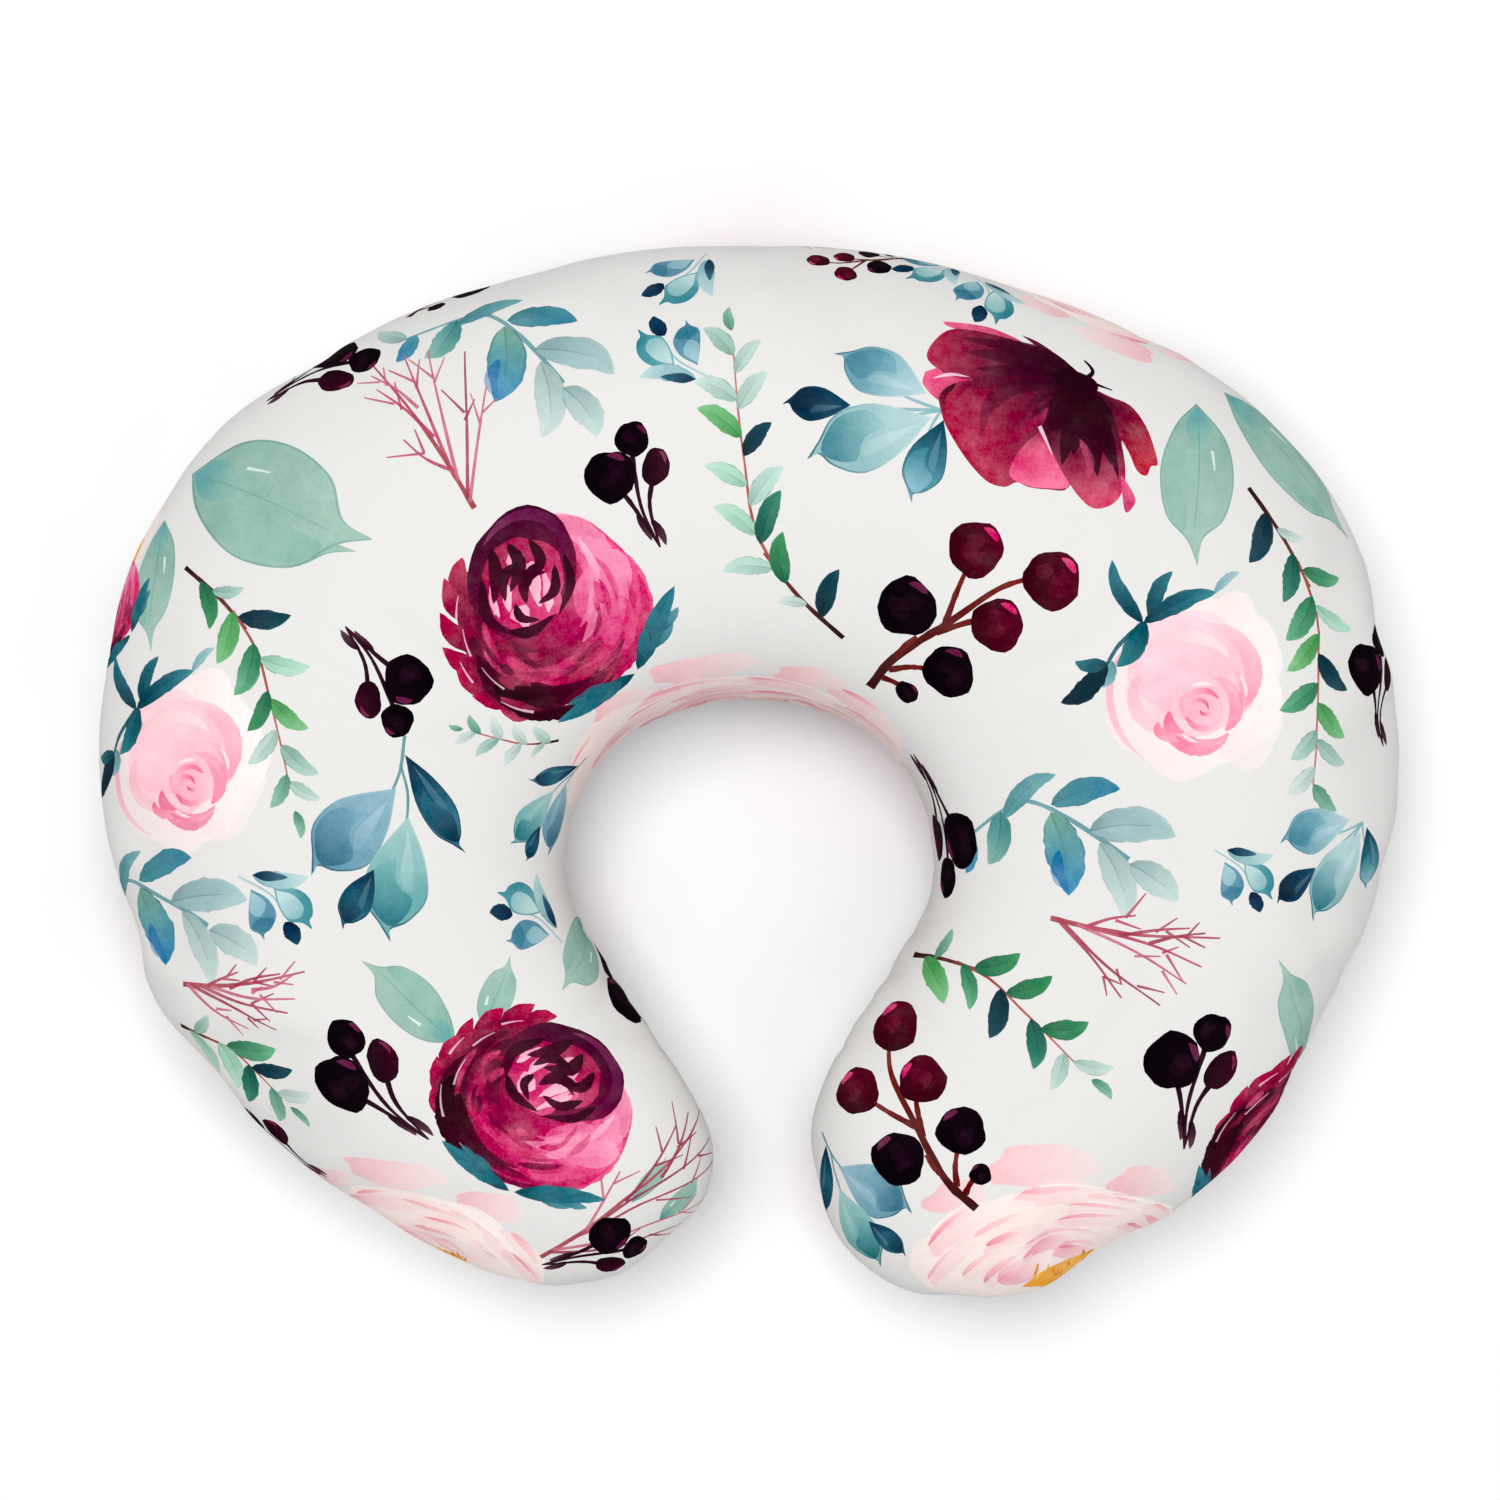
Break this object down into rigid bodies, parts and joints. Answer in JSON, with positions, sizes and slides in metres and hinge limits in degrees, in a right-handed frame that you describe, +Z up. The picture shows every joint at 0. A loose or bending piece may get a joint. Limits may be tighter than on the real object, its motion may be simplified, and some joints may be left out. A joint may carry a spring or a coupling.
{
  "type": "nursing pillow",
  "caption": "C-shaped nursing pillow with a soft stuffed body, a removable floral slipcover and a zipper along its back seam.",
  "frame": {"origin": "centre of the overall outline seen from above, at the height of the surface the pillow lies on", "axes": "+Z up out of the upper face; +X across the pillow from arm to arm; +Y towards the closed back that holds the zipper, so the mouth between the arms opens to -Y"},
  "size_m": [0.5668, 0.465, 0.146],
  "materials": {
    "cover_fabric": "smooth brushed knit, printed with watercolour flowers",
    "casing_cloth": "plain woven cloth",
    "fibre": "loose polyester fibre",
    "thread": "spun polyester thread",
    "zipper_tape": "herringbone tape",
    "zipper_coil": "nylon filament",
    "zipper_metal": "stamped",
    "slider_metal": "nickel-plated die casting",
    "label_satin": "satin ribbon, blank",
    "label_paper": "non-woven label, blank"
  },
  "bodies": {
    "pillow": {"cover_top_panel": "cover_fabric", "cover_bottom_panel": "cover_fabric", "cover_overlock_thread": "thread", "cover_care_label": "label_satin", "zipper_tape_upper": "zipper_tape", "zipper_tape_lower": "zipper_tape", "zipper_coil_upper": "zipper_coil", "zipper_coil_lower": "zipper_coil", "zipper_top_stop_upper": "zipper_metal", "zipper_top_stop_lower": "zipper_metal", "zipper_bottom_stop": "zipper_metal", "zipper_stitching_upper": "thread", "zipper_stitching_lower": "thread", "casing_top_panel": "casing_cloth", "casing_bottom_panel": "casing_cloth", "casing_overlock_thread": "thread", "casing_closing_stitches": "thread", "casing_law_label": "label_paper", "fibre_fill": "fibre"},
    "slider": {"slider_body": "slider_metal", "slider_crown": "slider_metal"},
    "pull": {"pull_tab": "slider_metal"}
  },
  "joints": [
    {"name": "zip_slide", "type": "hinge", "parent": "pillow", "child": "slider", "pos_m": [0, -0.14747, 0.066], "axis": [0, 0, 1], "range_deg": [0, 48]},
    {"name": "pull_swing", "type": "hinge", "parent": "slider", "child": "pull", "pos_m": [0.16194, 0.19204, 0.066], "axis": [0, 0, -1], "range_deg": [0, 150]}
  ]
}
